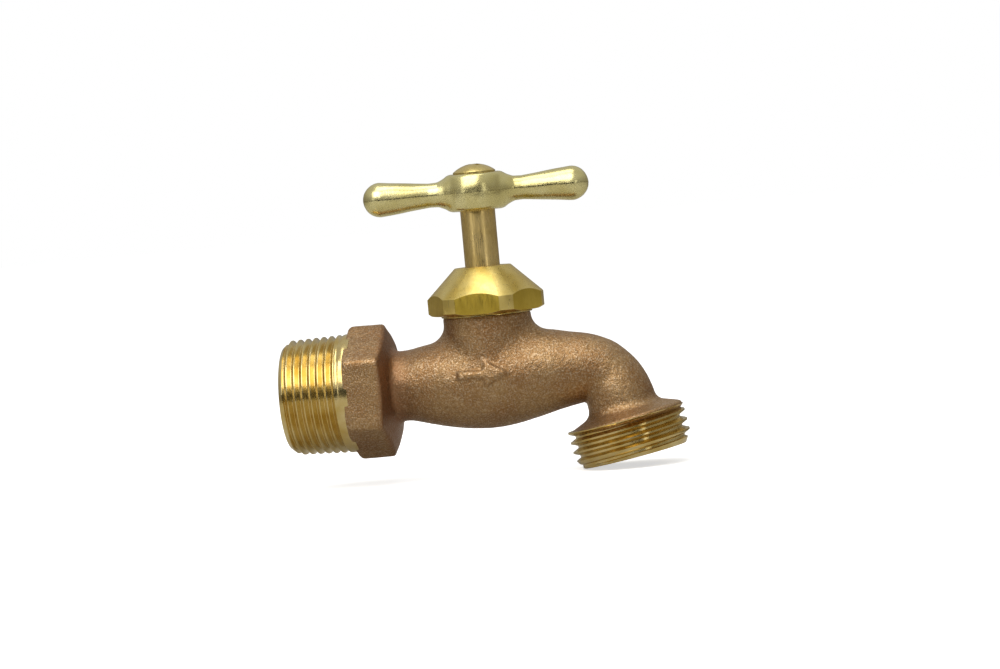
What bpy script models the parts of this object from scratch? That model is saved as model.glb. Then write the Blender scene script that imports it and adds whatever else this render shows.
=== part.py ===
"""Bent-nose hose bib with a tee handle, modelled as the separate pieces that it comes apart into.

Frame: the origin is the centre of the pipe inlet's end face, +X runs from the inlet to the outlet and +Z runs
up along the valve stem.  The valve is shut: the seat washer rests just above the seat.
Constants are in millimetres; MM turns them into metres where a shape is made.
"""

from math import cos, pi, radians, sin, sqrt

import bmesh
import bpy
from mathutils import Matrix, Vector

MM = 0.001
INCH = 25.4
GAP = 0.3                      # between pieces that touch
TURNED_STEPS = 28              # facets round the larger turned shapes
SMALL_STEPS = 24               # facets round the smaller ones
THREAD_STEPS = 20              # facets in a turn of an outside thread
INNER_STEPS = 16               # facets in a turn of a thread inside the valve
RIDGE_SINK = 0.25              # how far a thread ridge's foot lies inside its core
RIDGE_PHASE = radians(4)       # keeps a ridge's facets off its core's facets

# Pipe inlet: 3/4-14 NPT, tapered 1 in 16 on the diameter
NPT_PITCH = INCH / 14
NPT_MAJOR_R = 13.0
NPT_MINOR_R = 11.55
NPT_SLOPE = 1 / 32
NPT_THREAD_TURNS = 8.5
INLET_CHAMFER = 1.3
INLET_BORE_R = 8.8
INLET_BORE_LENGTH = 15.0

# Wrench hexagon, two corners up and down
HEX_START = 15.4
HEX_END = 23.8                 # where its flats end
HEX_BACK_RISE = 1.3            # from there its back face is a shallow cone up to the neck
HEX_FLATS = 26.6
HEX_CORNER_R = HEX_FLATS / sqrt(3)

# Stem axis and what is turned about it
STEM_X = 47.1
STEM_R = 3.95
LEAD = INCH / 10               # coarse stem thread, 10 turns to the inch
LIFT = 2 * LEAD                # two turns from shut to open
STEM_THREAD_MAJOR_R = 7.0
STEM_THREAD_MINOR_R = 6.1
STEM_THREAD_START = 7.2        # middle of the ridge where it starts
STEM_THREAD_TURNS = 2.0
STEM_THREAD_TOP = STEM_THREAD_START + LEAD * STEM_THREAD_TURNS + 0.45
CUP_RIM_Z = 3.4
CUP_FLOOR_Z = 5.2
TANG_FLATS = 5.6
TANG_START = 38.7
TANG_END = 46.9

# Valve seat and washer
SEAT_Z = 1.6
SEAT_BORE_R = 4.2
SEAT_CROWN_R = 5.0
CHAMBER_R = 8.0
CHAMBER_FLOOR_Z = 0.2
CHAMBER_ROOF_Z = 7.4
WASHER_R = 5.2
WASHER_HOLE_R = 1.9
WASHER_SCREW_R = 1.6
WASHER_SCREW_HEAD_R = 2.9

# Neck and stuffing box
NECK_R = 9.95
NECK_COLLAR_R = 10.35
NECK_COLLAR_Z = 15.1
NUT_BOTTOM_Z = 15.8
NECK_TOP_Z = 20.5
NECK_PITCH = INCH / 16         # 13/16-16 thread under the nut
NECK_MAJOR_R = 10.3
NECK_MINOR_R = 9.5
NECK_THREAD_START = 16.6       # middle of the ridge where it starts
POCKET_FLOOR_Z = STEM_THREAD_TOP + LIFT + 0.4
POCKET_R = STEM_THREAD_MAJOR_R + GAP
NUT_SHELF_Z = 20.8
NUT_ROOF_Z = 24.2
NUT_TOP_Z = 26.2
NUT_FLATS = 24.3
NUT_TURNED_R = 13.15
NUT_TOP_R = 6.35
PACKING_R = 6.6
PACKING_BORE_R = STEM_R + GAP

# Tee handle and its screw
HANDLE_TURN = radians(9.7)     # the arms' angle from +X about the stem at rest
HUB_BOTTOM_Z = 39.0
HUB_TOP_Z = 47.2
HUB_EDGE_R = 6.0
HUB_WAIST_R = 7.0
ARM_Z = 43.1
ARM_LENGTH = 25.5
ARM_ROOT_R = 2.65
ARM_TIP_R = 3.9
HANDLE_SCREW_R = 2.0
HANDLE_SCREW_HEAD_R = 4.8
HANDLE_SCREW_TOP_Z = 49.4

# Spout and hose outlet: 3/4-11.5 NH, tipped forward from straight down
OUTLET_END = Vector((77.9, 0.0, -19.1))
OUTLET_TILT = radians(9.86)
OUTLET_AXIS = Vector((sin(OUTLET_TILT), 0.0, -cos(OUTLET_TILT)))
SPOUT_LEVEL_Z = 1.6
BEND_R = 7.5                   # centreline radius of the spout's bend
NH_PITCH = INCH / 11.5
NH_MAJOR_R = 13.4
NH_MINOR_R = 11.95
OUTLET_RIM_R = 11.85
OUTLET_BORE_R = 8.0
FLANGE_R = 13.2

# Plain raised arrow that shows the way of the flow
ARROW_FACE_Y = -11.15
ARROW_BACK_Y = -8.5
ARROW_Z = 3.2
ARROW_START_X = 42.2
ARROW_NECK_X = 48.6
ARROW_HEAD_X = 49.4            # centre of its three-sided head
ARROW_HEAD_R = 2.9
ARROW_HALF_WIDTH = 0.8


# ---------------------------------------------------------------- helpers

def clear_scene():
    for obj in list(bpy.data.objects):
        bpy.data.objects.remove(obj)


def new_collection(name):
    collection = bpy.data.collections.new(name)
    bpy.context.scene.collection.children.link(collection)
    return collection


def material(name, colour, roughness, metallic):
    """A Principled material with one colour, roughness and metallic value."""
    made = bpy.data.materials.new(name)
    made.use_nodes = True
    shader = made.node_tree.nodes["Principled BSDF"]
    shader.inputs["Base Color"].default_value = (*colour, 1.0)
    shader.inputs["Roughness"].default_value = roughness
    shader.inputs["Metallic"].default_value = metallic
    made.diffuse_color = (*colour, 1.0)
    return made


def new_object(name, mesh, matrix=None):
    """A helper object: it stays out of renders until make_part takes it as a part."""
    obj = bpy.data.objects.new(name, mesh)
    cutters.objects.link(obj)
    obj.hide_render = True
    obj.display_type = "WIRE"
    if matrix is not None:
        obj.matrix_world = matrix
    return obj


def make_part(obj, surface, parent=None):
    """Moves an object from the helpers to the parts and gives it its material."""
    cutters.objects.unlink(obj)
    parts.objects.link(obj)
    obj.hide_render = False
    obj.display_type = "TEXTURED"
    obj.data.materials.clear()
    obj.data.materials.append(surface)
    if parent is not None:
        obj.parent = parent
    return obj


def turned(name, profile, steps=SMALL_STEPS, matrix=None, ring=False):
    """A turned solid about Z.  profile runs top to bottom down the outer side as (radius, z) in millimetres.

    A ring's profile is a closed loop; any other starts and ends on the axis.
    """
    mesh = bpy.data.meshes.new(name)
    points = [(r * MM, 0.0, z * MM) for r, z in profile]
    edges = [(i, i + 1) for i in range(len(points) - 1)]
    if ring:
        edges.append((len(points) - 1, 0))
    mesh.from_pydata(points, edges, [])
    obj = new_object(name, mesh, matrix)
    screw = obj.modifiers.new("turn", "SCREW")
    screw.steps = screw.render_steps = steps
    screw.use_merge_vertices = True
    screw.merge_threshold = 0.00001
    screw.use_smooth_shade = True
    return obj


def thread_ridge(name, major, minor, pitch, start, turns, crest, root, steps, matrix=None, slope=0.0):
    """A right-handed helical ridge about Z, closed at both ends, with its foot sunk below the minor radius.

    crest and root are the ridge's widths at the major and minor radius; slope is a taper's rise per length.
    """
    flank = (root - crest) / 2 / (major - minor)
    foot = root / 2 + flank * RIDGE_SINK
    section = [
        (minor - RIDGE_SINK, -foot), (major, -crest / 2), (major, crest / 2), (minor - RIDGE_SINK, foot),
    ]
    bm = bmesh.new()
    corners = [bm.verts.new((r * MM, 0.0, (start + z) * MM)) for r, z in section]
    face = bm.faces.new(corners)
    bmesh.ops.spin(
        bm,
        geom=[face, *face.edges, *face.verts],
        cent=(0.0, 0.0, 0.0),
        axis=(0.0, 0.0, 1.0),
        dvec=(0.0, 0.0, pitch * MM / steps),
        angle=2 * pi * turns,
        steps=round(steps * turns),
        use_duplicate=False,
    )
    bmesh.ops.rotate(bm, cent=(0.0, 0.0, 0.0), matrix=Matrix.Rotation(RIDGE_PHASE, 3, "Z"), verts=bm.verts)
    for vert in bm.verts:
        reach = vert.co.xy.length
        vert.co.xy *= (reach + slope * vert.co.z) / reach
    bmesh.ops.recalc_face_normals(bm, faces=bm.faces)
    mesh = bpy.data.meshes.new(name)
    bm.to_mesh(mesh)
    bm.free()
    return new_object(name, mesh, matrix)


def prism(name, flats, bottom, top, sides=6, matrix=None, turn=0.0):
    """An upright prism with its flats that far apart; turn moves its first corner away from +X."""
    bm = bmesh.new()
    corner_r = flats / 2 / cos(pi / sides) * MM
    bmesh.ops.create_cone(
        bm, cap_ends=True, segments=sides, radius1=corner_r, radius2=corner_r, depth=(top - bottom) * MM,
        matrix=Matrix.Translation((0.0, 0.0, (top + bottom) / 2 * MM)) @ Matrix.Rotation(turn + pi / 2, 4, "Z"),
    )
    mesh = bpy.data.meshes.new(name)
    bm.to_mesh(mesh)
    bm.free()
    return new_object(name, mesh, matrix)


def box(name, low, high):
    bm = bmesh.new()
    low, high = Vector(low) * MM, Vector(high) * MM
    bmesh.ops.create_cube(bm, matrix=Matrix.Translation((low + high) / 2) @ Matrix.Diagonal((*(high - low), 1.0)))
    mesh = bpy.data.meshes.new(name)
    bm.to_mesh(mesh)
    bm.free()
    return new_object(name, mesh)


def ellipsoid(name, centre, radii, segments=18, rings=10):
    bm = bmesh.new()
    place = Matrix.Translation(Vector(centre) * MM) @ Matrix.Diagonal((*(Vector(radii) * MM), 1.0))
    bmesh.ops.create_uvsphere(bm, u_segments=segments, v_segments=rings, radius=1.0, matrix=place)
    mesh = bpy.data.meshes.new(name)
    bm.to_mesh(mesh)
    bm.free()
    return new_object(name, mesh)


def swept_tube(name, stations, sides):
    """A round bar along a smooth curve through (x, z, radius) stations in the plane y = 0, as a closed mesh."""
    data = bpy.data.curves.new(name, "CURVE")
    data.dimensions = "3D"
    data.resolution_u = 2
    data.bevel_depth = MM
    data.bevel_resolution = sides // 2 - 2
    data.use_fill_caps = True
    spline = data.splines.new("BEZIER")
    spline.bezier_points.add(len(stations) - 1)
    spline.radius_interpolation = "CARDINAL"
    for point, (x, z, radius) in zip(spline.bezier_points, stations):
        point.co = (x * MM, 0.0, z * MM)
        point.radius = radius
        point.handle_left_type = point.handle_right_type = "AUTO"
    curve = bpy.data.objects.new(name, data)
    cutters.objects.link(curve)
    graph = bpy.context.evaluated_depsgraph_get()
    mesh = bpy.data.meshes.new_from_object(curve.evaluated_get(graph))
    bpy.data.objects.remove(curve)
    bm = bmesh.new()
    bm.from_mesh(mesh)
    bmesh.ops.remove_doubles(bm, verts=bm.verts, dist=0.000001)
    bmesh.ops.recalc_face_normals(bm, faces=bm.faces)
    bm.to_mesh(mesh)
    bm.free()
    return new_object(name, mesh)


def combine(target, operation, *others, solver="EXACT"):
    """Adds one Boolean modifier to target for each other object."""
    for other in others:
        boolean = target.modifiers.new(other.name, "BOOLEAN")
        boolean.operation = operation
        boolean.solver = solver
        boolean.object = other
    return target


def combine_threads(target, operation, *others):
    """The same for the casting and its threads, whose ridges have narrow facets that lie nearly flush."""
    return combine(target, operation, *others, solver="MANIFOLD")


def arc(centre_r, centre_z, radius, start, end, count):
    """Points (r, z) along an arc, its angles in degrees from the +r direction."""
    angles = [radians(start + (end - start) * i / count) for i in range(count + 1)]
    return [(centre_r + radius * cos(a), centre_z + radius * sin(a)) for a in angles]


# ---------------------------------------------------------------- body casting

def axis_x(x=0.0):
    """Places a shape turned about Z so that its axis is +X and its z = 0 lies at x."""
    return Matrix.Translation((x * MM, 0.0, 0.0)) @ Matrix.Rotation(pi / 2, 4, "Y")


def axis_outlet():
    """Places a shape turned about Z so that +Z runs from the outlet's end face back into the spout."""
    return Matrix.Translation(OUTLET_END * MM) @ Matrix.Rotation(-OUTLET_TILT, 4, "Y")


def axis_stem():
    return Matrix.Translation((STEM_X * MM, 0.0, 0.0))


def bend_stations(radius_start, radius_middle, radius_end):
    """Stations round the spout's bend and down to the collar, where the bend's arc meets the outlet's axis."""
    across = Vector((cos(OUTLET_TILT), 0.0, sin(OUTLET_TILT)))
    centre_z = SPOUT_LEVEL_Z - BEND_R
    straight = (centre_z + BEND_R * across.z - OUTLET_END.z) / -OUTLET_AXIS.z
    bend_end = OUTLET_END - OUTLET_AXIS * straight
    centre = bend_end - across * BEND_R
    stations = []
    sweep = pi / 2 - OUTLET_TILT
    for i in range(4):
        angle = pi / 2 - sweep * i / 3
        share = sin(pi * i / 3)
        end = radius_start + (radius_end - radius_start) * i / 3
        radius = end + (radius_middle - end) * share
        stations.append((centre.x + BEND_R * cos(angle), centre.z + BEND_R * sin(angle), radius))
    return stations, bend_end


def cast_shell():
    """The casting's outside from the hexagon through the belly to the collar, as one swept round bar."""
    stations, bend_end = bend_stations(7.6, 6.95, 7.7)
    collar = bend_end + OUTLET_AXIS * 6.0
    return swept_tube("body_casting", [
        (22.0, 0.65, 7.95), (30.0, 0.65, 8.2), (34.5, 0.55, 9.2), (40.0, 0.35, 10.2), (STEM_X, 0.3, 10.7),
        (54.0, 1.0, 10.2), (60.0, 1.55, 9.25), (64.5, SPOUT_LEVEL_Z, 8.2),
        *stations, (collar.x, collar.z, 7.7),
    ], sides=24)


def neck_outside():
    """The neck's plain flank, its machined collar and the core of its thread."""
    return turned("neck_outside", [
        (0, NECK_TOP_Z), (NECK_MINOR_R, NECK_TOP_Z), (NECK_MINOR_R, NECK_COLLAR_Z + 0.4),
        (NECK_COLLAR_R, NECK_COLLAR_Z + 0.4), (NECK_COLLAR_R, NECK_COLLAR_Z), (NECK_R, NECK_COLLAR_Z - 0.3),
        (NECK_R, 13.2), (10.25, 11.6), (10.75, 10.4), (10.9, 8.5), (10.7, 4.0), (10.3, 0.0), (0, 0.0),
    ], TURNED_STEPS, axis_stem())


def neck_thread():
    """The thread that the packing nut screws onto, its ends trimmed by a chamfered envelope."""
    ridge = thread_ridge(
        "neck_thread", NECK_MAJOR_R, NECK_MINOR_R, NECK_PITCH, NECK_THREAD_START, 2.25, 0.35, 0.85,
        INNER_STEPS, axis_stem())
    envelope = turned("neck_thread_envelope", [
        (0, NECK_TOP_Z - 0.1), (NECK_MINOR_R - 0.4, NECK_TOP_Z - 0.1), (NECK_MAJOR_R + 1, NECK_TOP_Z - 1.5),
        (NECK_MAJOR_R + 1, NECK_COLLAR_Z + 0.2), (0, NECK_COLLAR_Z + 0.2),
    ], TURNED_STEPS, axis_stem())
    return combine_threads(ridge, "INTERSECT", envelope)


def inlet_thread():
    """The tapered pipe thread with its core, trimmed by the chamfer at the inlet's end."""
    core = turned("inlet_core", [
        (0, HEX_START + 1), (NPT_MINOR_R + (HEX_START + 1) * NPT_SLOPE, HEX_START + 1),
        (NPT_MINOR_R - NPT_SLOPE, -1), (0, -1),
    ], TURNED_STEPS, axis_x())
    ridge = thread_ridge(
        "inlet_ridge", NPT_MAJOR_R, NPT_MINOR_R, NPT_PITCH, -1.4, NPT_THREAD_TURNS,
        0.25, 1.4, THREAD_STEPS, axis_x(), NPT_SLOPE)
    envelope = turned("inlet_envelope", [
        (0, HEX_START + 1), (NPT_MAJOR_R + 2, HEX_START + 1), (NPT_MAJOR_R + 2, INLET_CHAMFER + 2),
        (NPT_MINOR_R + 0.15, 0), (0, 0),
    ], TURNED_STEPS, axis_x())
    return combine_threads(combine_threads(core, "UNION", ridge), "INTERSECT", envelope)


def wrench_hexagon():
    """The hexagon that takes a wrench: chamfered by turning on the thread side, coned up to the neck behind."""
    back_end = HEX_END + HEX_BACK_RISE
    clear_r = HEX_CORNER_R + 0.1
    hexagon = prism("wrench_hexagon", HEX_FLATS, HEX_START, back_end + 1, matrix=axis_x())
    envelope = turned("hexagon_envelope", [
        (0, back_end), (8.0, back_end), (HEX_FLATS / 2, HEX_END), (HEX_CORNER_R - 0.6, HEX_END - 0.6),
        (clear_r, HEX_END - 1.3), (clear_r, HEX_START + 1.4),
        (HEX_CORNER_R - 1.9, HEX_START - 0.1), (0, HEX_START - 0.1),
    ], TURNED_STEPS, axis_x())
    return combine(hexagon, "INTERSECT", envelope)


def outlet_thread():
    """The hose collar and its thread, measured up from the outlet's end face along its axis."""
    collar = turned("outlet_collar", [
        (0, 12.5), (7.7, 12.5), (8.05, 11.4), (8.8, 10.6), (12.7, 9.15), (FLANGE_R, 8.9), (FLANGE_R, 8.5),
        (NH_MINOR_R, 7.6), (NH_MINOR_R, -0.5), (0, -0.5),
    ], TURNED_STEPS, axis_outlet())
    ridge = thread_ridge(
        "outlet_ridge", NH_MAJOR_R, NH_MINOR_R, NH_PITCH, -0.6, 4.0, 0.35, 1.75, THREAD_STEPS, axis_outlet())
    envelope = turned("outlet_envelope", [
        (0, 13.0), (NH_MAJOR_R + 1, 13.0), (NH_MAJOR_R + 1, 2.6), (OUTLET_RIM_R, 0), (0, 0),
    ], TURNED_STEPS, axis_outlet())
    return combine_threads(combine_threads(collar, "UNION", ridge), "INTERSECT", envelope)


def flow_arrow():
    """A plain raised arrow on the belly that points from inlet to outlet."""
    shaft = box(
        "flow_arrow", (ARROW_START_X, ARROW_FACE_Y, ARROW_Z - ARROW_HALF_WIDTH),
        (ARROW_NECK_X, ARROW_BACK_Y, ARROW_Z + ARROW_HALF_WIDTH))
    centre = Vector((ARROW_HEAD_X, (ARROW_FACE_Y + ARROW_BACK_Y) / 2, ARROW_Z)) * MM
    head_r = ARROW_HEAD_R * MM
    bm = bmesh.new()
    bmesh.ops.create_cone(
        bm, cap_ends=True, segments=3, radius1=head_r, radius2=head_r, depth=(ARROW_BACK_Y - ARROW_FACE_Y) * MM,
        matrix=Matrix.Translation(centre) @ Matrix.Rotation(pi / 2, 4, "X") @ Matrix.Rotation(-pi / 2, 4, "Z"),
    )
    mesh = bpy.data.meshes.new("arrow_head")
    bm.to_mesh(mesh)
    bm.free()
    return combine(shaft, "UNION", new_object("arrow_head", mesh))


def inlet_passage():
    """The water's way in: the bore, a cone down to the neck and a round nose short of the valve chamber."""
    nose_r, nose_x = 5.5, 31.2
    return turned("inlet_passage", [
        *arc(0, nose_x, nose_r, 90, 0, 5), (5.6, 23.0), (INLET_BORE_R, INLET_BORE_LENGTH),
        (INLET_BORE_R, -2), (0, -2),
    ], SMALL_STEPS, axis_x())


def valve_chamber():
    """The stem's bore, the stuffing box pocket, the chamber and the raised seat with its hole."""
    bore_r = STEM_THREAD_MINOR_R + GAP
    return turned("valve_chamber", [
        (0, NECK_TOP_Z + 1), (POCKET_R, NECK_TOP_Z + 1), (POCKET_R, POCKET_FLOOR_Z), (bore_r, POCKET_FLOOR_Z),
        (bore_r, CHAMBER_ROOF_Z + 1.2), (CHAMBER_R, CHAMBER_ROOF_Z), (CHAMBER_R, CHAMBER_FLOOR_Z),
        (SEAT_CROWN_R + 0.6, CHAMBER_FLOOR_Z), (SEAT_CROWN_R, SEAT_Z), (SEAT_BORE_R, SEAT_Z),
        (SEAT_BORE_R, -4), (0, -4),
    ], SMALL_STEPS, axis_stem())


def neck_groove():
    """The groove that the stem's thread runs in: the stem's ridge, grown by the gap all round."""
    return thread_ridge(
        "neck_groove", STEM_THREAD_MAJOR_R + GAP, STEM_THREAD_MINOR_R + GAP, LEAD, STEM_THREAD_START - LEAD,
        6.0, 1.37, 1.87, INNER_STEPS, axis_stem())


def spout_passage():
    """The water's way out: from the chamber's side, round the bend and down into the hose outlet."""
    stations, bend_end = bend_stations(5.6, 5.1, 5.4)
    mouth = bend_end + OUTLET_AXIS * 6.0
    return swept_tube("spout_passage", [
        (48.0, 4.0, 3.2), (54.0, 3.4, 4.6), (60.0, 2.0, 6.2), (64.5, 1.6, 6.0), *stations,
        (mouth.x, mouth.z, 5.4),
    ], sides=16)


def outlet_bore():
    return turned("outlet_bore", [
        (0, 13.5), (5.3, 12.2), (OUTLET_BORE_R, 8.8), (OUTLET_BORE_R, -1), (0, -1),
    ], SMALL_STEPS, axis_outlet())


def body_casting(bronze):
    body = cast_shell()
    combine_threads(
        body, "UNION",
        neck_outside(), neck_thread(), wrench_hexagon(), inlet_thread(), outlet_thread(), flow_arrow(),
    )
    combine_threads(
        body, "DIFFERENCE",
        inlet_passage(), ellipsoid("lower_chamber", (42.9, 0, -4.9), (11.9, 7.0, 3.1)), valve_chamber(),
        neck_groove(), spout_passage(), outlet_bore(),
    )
    weld = body.modifiers.new("close_cuts", "WELD")
    weld.merge_threshold = 0.000005
    return make_part(body, bronze)


# ---------------------------------------------------------------- stuffing box

def packing_nut(brass, parent):
    """Hexagonal nut: flats front and back, a 45-degree cone above, threaded inside over the neck."""
    cone = (NUT_TURNED_R - NUT_TOP_R) * 0.968
    nut = prism("packing_nut", NUT_FLATS, NUT_BOTTOM_Z, NUT_TOP_Z)
    outside = turned("nut_outside", [
        (0, NUT_TOP_Z + 1), (NUT_TOP_R - 1, NUT_TOP_Z + 0.968), (NUT_TURNED_R, NUT_TOP_Z - cone),
        (NUT_TURNED_R, NUT_BOTTOM_Z + 0.7), (NUT_TURNED_R - 1.4, NUT_BOTTOM_Z - 0.1), (0, NUT_BOTTOM_Z - 0.1),
    ], TURNED_STEPS)
    inside_r = NECK_MINOR_R + GAP
    recess_r = PACKING_R + GAP
    bore = turned("nut_bore", [
        (0, NUT_TOP_Z + 1), (PACKING_BORE_R, NUT_TOP_Z + 1), (PACKING_BORE_R, NUT_ROOF_Z), (recess_r, NUT_ROOF_Z),
        (recess_r, NUT_SHELF_Z), (inside_r, NUT_SHELF_Z), (inside_r, NUT_BOTTOM_Z + 0.8),
        (NECK_COLLAR_R + GAP, NUT_BOTTOM_Z - 0.05), (NECK_COLLAR_R + GAP, NUT_BOTTOM_Z - 1), (0, NUT_BOTTOM_Z - 1),
    ], SMALL_STEPS)
    groove = thread_ridge(
        "nut_groove", NECK_MAJOR_R + GAP, inside_r, NECK_PITCH, NECK_THREAD_START - NECK_PITCH, 3.5, 0.85, 1.35,
        INNER_STEPS)
    combine(nut, "INTERSECT", outside)
    combine(nut, "DIFFERENCE", bore, groove)
    for helper in (outside, bore, groove):
        helper.parent = parent
    return make_part(nut, brass, parent)


def ring(name, inner, outer, bottom, top, surface, parent):
    """A flat washer or packing ring about the stem's axis."""
    shape = turned(name, [(inner, top), (outer, top), (outer, bottom), (inner, bottom)], ring=True)
    return make_part(shape, surface, parent)


def stuffing_box(brass, packing, parent):
    washer_bottom = POCKET_FLOOR_Z + GAP
    washer_top = washer_bottom + 0.8
    gland_top = NUT_ROOF_Z - GAP
    gland_bottom = gland_top - 1.2
    ring("packing_washer", PACKING_BORE_R, STEM_THREAD_MAJOR_R, washer_bottom, washer_top, brass, parent)
    ring("packing_ring", PACKING_BORE_R, PACKING_R, washer_top + GAP, gland_bottom - GAP, packing, parent)
    ring("gland_ring", PACKING_BORE_R, PACKING_R, gland_bottom, gland_top, brass, parent)


# ---------------------------------------------------------------- stem and its washer

def stem(brass, parent):
    """The stem: a washer cup, the coarse thread, a plain shank and a square tang with a screw hole."""
    cup_r = STEM_THREAD_MINOR_R
    body = turned("stem", [
        (0, TANG_END), (STEM_R - 0.4, TANG_END), (STEM_R, TANG_END - 0.4), (STEM_R, STEM_THREAD_TOP + 0.6),
        (cup_r, STEM_THREAD_TOP), (cup_r, CUP_RIM_Z), (WASHER_R + GAP, CUP_RIM_Z), (WASHER_R + GAP, CUP_FLOOR_Z),
        (0, CUP_FLOOR_Z),
    ])
    ridge = thread_ridge(
        "stem_ridge", STEM_THREAD_MAJOR_R, STEM_THREAD_MINOR_R, LEAD, STEM_THREAD_START, STEM_THREAD_TURNS,
        0.75, 1.25, INNER_STEPS)
    tang = prism("stem_tang", TANG_FLATS, TANG_START, TANG_END + 1, 4, turn=pi / 4 + HANDLE_TURN)
    below = box("stem_below_tang", (-8, -8, 0), (8, 8, TANG_START + 0.05))
    keep = combine(tang, "UNION", below)
    top_hole = turned("stem_top_hole", [
        (0, TANG_END + 1), (HANDLE_SCREW_R + GAP, TANG_END + 1), (HANDLE_SCREW_R + GAP, 39.4), (0, 38.2),
    ])
    bottom_hole = turned("stem_bottom_hole", [
        (0, 13.0), (WASHER_SCREW_R + GAP, 12.0), (WASHER_SCREW_R + GAP, CUP_FLOOR_Z - 1), (0, CUP_FLOOR_Z - 1),
    ])
    combine(body, "UNION", ridge)
    combine(body, "INTERSECT", keep)
    combine(body, "DIFFERENCE", top_hole, bottom_hole)
    for helper in (ridge, tang, below, top_hole, bottom_hole):
        helper.parent = parent
    return make_part(body, brass, parent)


def seat_washer(rubber, parent):
    bottom = SEAT_Z + GAP
    return ring("seat_washer", WASHER_HOLE_R, WASHER_R, bottom, CUP_FLOOR_Z - GAP, rubber, parent)


def washer_screw(brass, parent):
    """A round-headed screw up through the seat washer into the stem, with a slot in its head."""
    head_top = SEAT_Z
    screw = turned("washer_screw", [
        (0, 11.4), (WASHER_SCREW_R - 0.5, 11.4), (WASHER_SCREW_R, 10.9), (WASHER_SCREW_R, head_top),
        (WASHER_SCREW_HEAD_R, head_top), (WASHER_SCREW_HEAD_R, head_top - 0.6),
        (WASHER_SCREW_HEAD_R - 0.7, head_top - 1.4), (0, head_top - 1.8),
    ], 20)
    slot = box("washer_screw_slot", (-4, -0.35, head_top - 3), (4, 0.35, head_top - 0.9))
    slot.parent = parent
    return make_part(combine(screw, "DIFFERENCE", slot), brass, parent)


# ---------------------------------------------------------------- tee handle

def tee_handle(brass, parent):
    """A barrel hub with two arms that swell to round ends, and a square hole for the stem's tang."""
    middle = (HUB_BOTTOM_Z + HUB_TOP_Z) / 2
    half = (HUB_TOP_Z - HUB_BOTTOM_Z) / 2
    shares = [k / 4 for k in range(-4, 5)]
    barrel = [
        (HUB_WAIST_R - (HUB_WAIST_R - HUB_EDGE_R) * share ** 2, middle - half * share) for share in shares
    ]
    hub = turned("tee_handle", [(0, HUB_TOP_Z), *barrel, (0, HUB_BOTTOM_Z)], SMALL_STEPS)
    tip_centre = ARM_LENGTH - ARM_TIP_R
    outer_half = [
        *arc(0, tip_centre, ARM_TIP_R, 90, 0, 5), (3.75, 19.5), (3.1, 13.5), (ARM_ROOT_R, 9.0),
        (2.9, 8.0), (3.8, 6.3),
    ]
    arms = turned(
        "handle_arms", [*outer_half, *[(r, -s) for r, s in reversed(outer_half)]], 20,
        Matrix.Translation((0, 0, ARM_Z * MM)) @ Matrix.Rotation(pi / 2, 4, "Y"))
    hole = prism("handle_hole", TANG_FLATS + 2 * GAP, HUB_BOTTOM_Z - 1, HUB_TOP_Z + 1, 4, turn=pi / 4)
    combine(hub, "UNION", arms)
    combine(hub, "DIFFERENCE", hole)
    for helper in (arms, hole):
        helper.parent = parent
    return make_part(hub, brass, parent)


def handle_screw(brass, parent):
    """A domed screw through the hub's square hole into the top of the stem, with a cross recess."""
    under = HUB_TOP_Z + GAP
    rim_top = under + 0.3
    rise = HANDLE_SCREW_TOP_Z - rim_top
    dome_r = (HANDLE_SCREW_HEAD_R ** 2 + rise ** 2) / (2 * rise)
    angles = [radians(90) * k / 5 for k in range(6)]
    reach = [HANDLE_SCREW_HEAD_R * sin(a) for a in angles]
    dome = [(r, HANDLE_SCREW_TOP_Z - dome_r + sqrt(dome_r ** 2 - r ** 2)) for r in reach]
    screw = turned("handle_screw", [
        *dome, (HANDLE_SCREW_HEAD_R, under), (HANDLE_SCREW_R, under), (HANDLE_SCREW_R, 40.4),
        (HANDLE_SCREW_R - 0.5, 39.9), (0, 39.9),
    ])
    slot = box("handle_screw_slot", (-3.0, -0.45, HANDLE_SCREW_TOP_Z - 0.9), (3.0, 0.45, HANDLE_SCREW_TOP_Z + 1))
    cross = box("handle_screw_cross", (-0.45, -3.0, HANDLE_SCREW_TOP_Z - 0.9), (0.45, 3.0, HANDLE_SCREW_TOP_Z + 1))
    combine(screw, "DIFFERENCE", slot, cross)
    for helper in (slot, cross):
        helper.parent = parent
    return make_part(screw, brass, parent)


# ---------------------------------------------------------------- assembly

def empty(name, matrix):
    obj = bpy.data.objects.new(name, None)
    parts.objects.link(obj)
    obj.matrix_world = matrix
    return obj


clear_scene()
parts = new_collection("hose_bib")
cutters = new_collection("cutters")

cast_bronze = material("cast_bronze", (0.50, 0.30, 0.15), 0.45, 1.0)
yellow_brass = material("yellow_brass", (0.72, 0.52, 0.20), 0.30, 1.0)
pale_brass = material("pale_brass", (0.74, 0.66, 0.38), 0.32, 1.0)
stem_brass = material("stem_brass", (0.55, 0.40, 0.20), 0.30, 1.0)
packing_grey = material("packing_grey", (0.05, 0.05, 0.05), 0.80, 0.0)
black_rubber = material("black_rubber", (0.02, 0.02, 0.02), 0.70, 0.0)

stem_axis = empty("stem_axis", axis_stem())
handle_axis = empty("handle_axis", axis_stem() @ Matrix.Rotation(HANDLE_TURN, 4, "Z"))

body_casting(cast_bronze)
packing_nut(yellow_brass, stem_axis)
stuffing_box(yellow_brass, packing_grey, stem_axis)
stem(stem_brass, stem_axis)
seat_washer(black_rubber, stem_axis)
washer_screw(yellow_brass, stem_axis)
tee_handle(pale_brass, handle_axis)
handle_screw(yellow_brass, handle_axis)
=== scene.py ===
from math import atan2, ceil, cos, pi, radians, sin, sqrt

import bmesh
import bpy
import numpy as np
from mathutils import Matrix, Vector


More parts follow.
